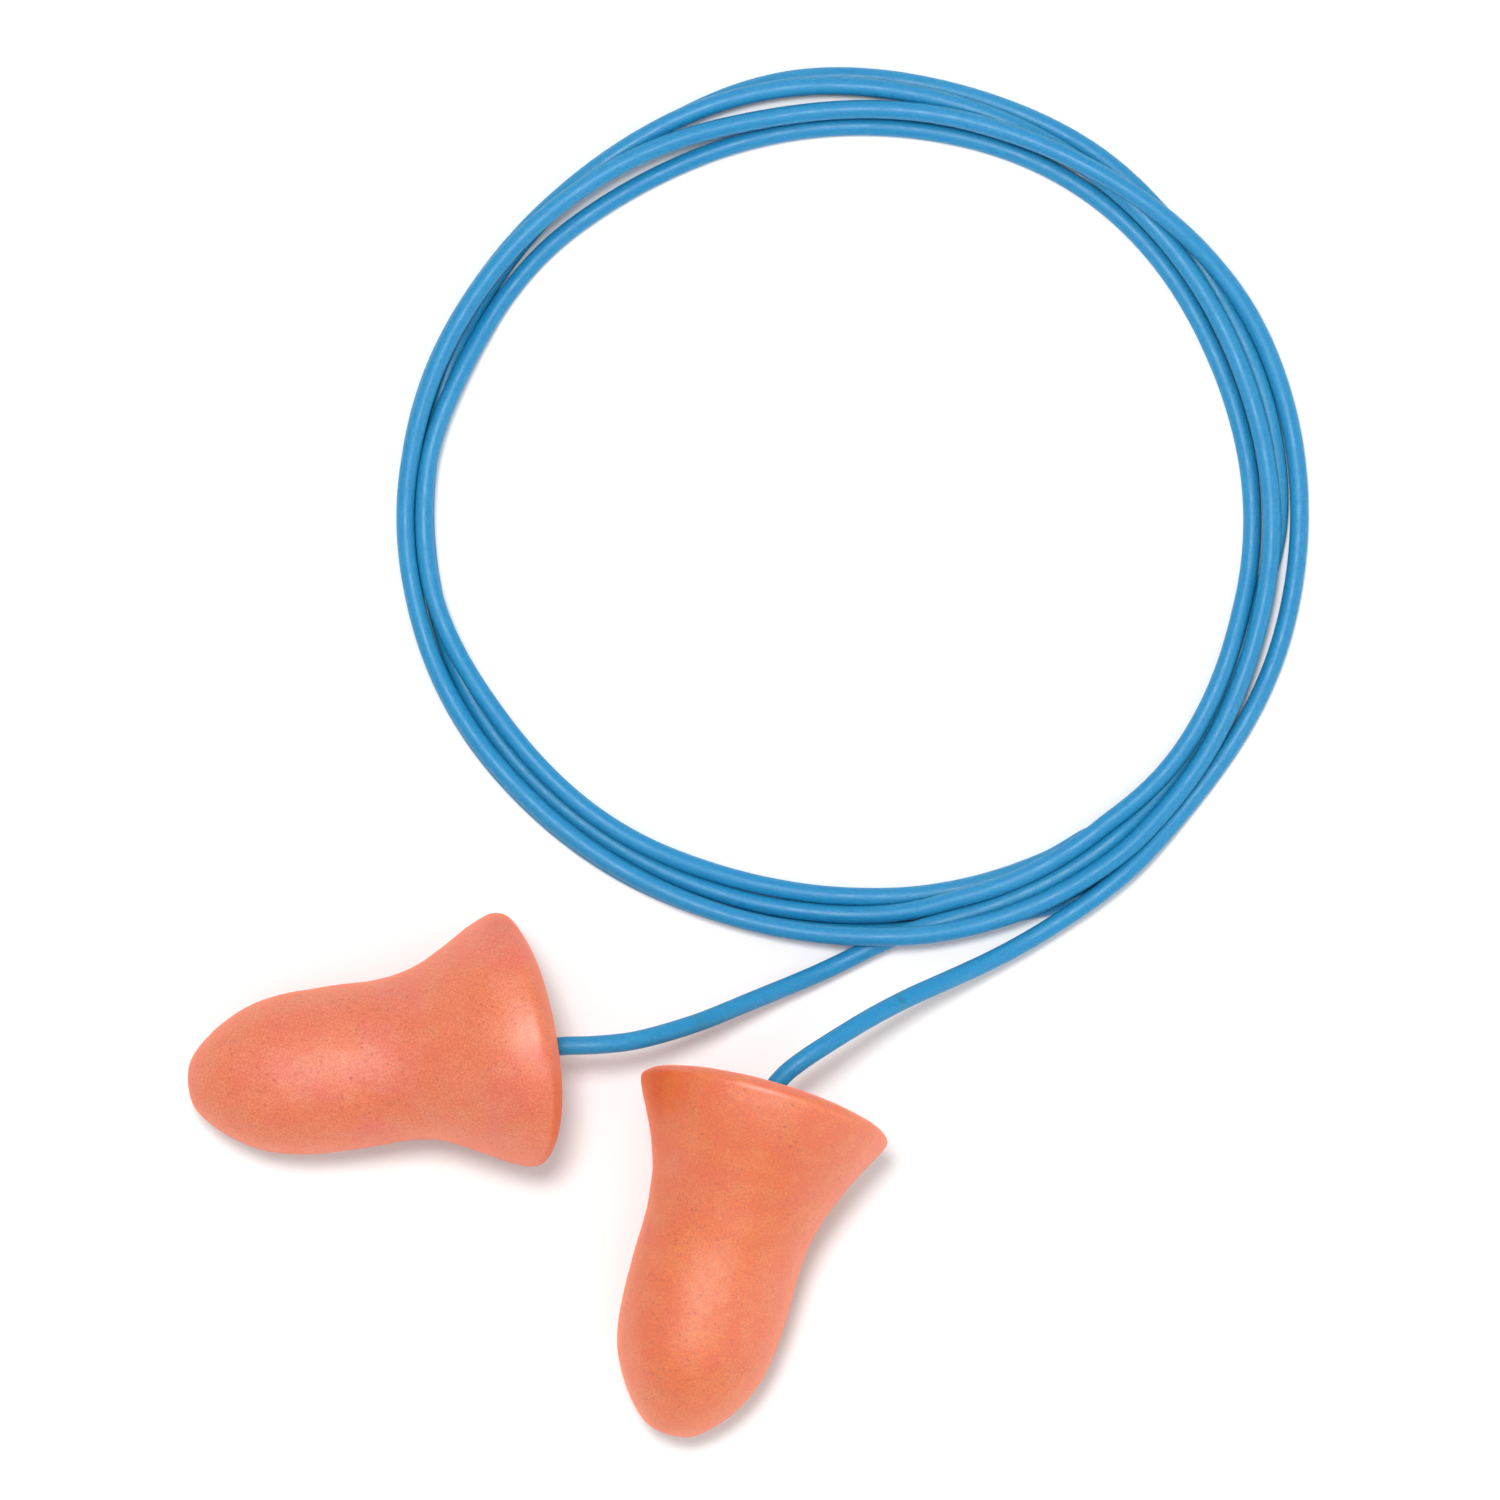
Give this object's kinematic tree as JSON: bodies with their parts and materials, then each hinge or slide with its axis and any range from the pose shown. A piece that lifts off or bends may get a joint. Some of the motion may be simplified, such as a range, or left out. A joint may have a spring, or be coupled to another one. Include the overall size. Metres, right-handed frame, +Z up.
{
  "type": "corded foam ear plugs",
  "caption": "Pair of bell-shaped soft foam ear plugs joined by a limp plastic cord that lies in a loose ring.",
  "frame": {"origin": "bottom centre of the box around the two plugs, on the surface that they lie on", "axes": "+Z up from the surface, +X along the length of the left plug towards its base (6 degrees off), +Y from the plugs towards the ring of cord"},
  "size_m": [0.0757, 0.0935, 0.0169],
  "materials": {
    "foam": "matte",
    "cord": "satin",
    "adhesive": "satin"
  },
  "bodies": {
    "cord": {"cord_coil": "cord", "left_cord_tail": "cord", "right_cord_tail": "cord"},
    "left_ear_plug": {"left_plug": "foam", "left_bond": "adhesive", "left_cord_end": "cord"},
    "right_ear_plug": {"right_plug": "foam", "right_bond": "adhesive", "right_cord_end": "cord"}
  },
  "joints": [
    {"name": "left_plug_swing", "type": "hinge", "parent": "cord", "child": "left_ear_plug", "pos_m": [0.00085, 0.009, 0.00894], "axis": [0, 0, 1], "range_deg": [-40, 35]},
    {"name": "right_plug_swing", "type": "hinge", "parent": "cord", "child": "right_ear_plug", "pos_m": [0.01595, 0.00635, 0.00894], "axis": [0, 0, 1], "range_deg": [-8, 20]}
  ]
}
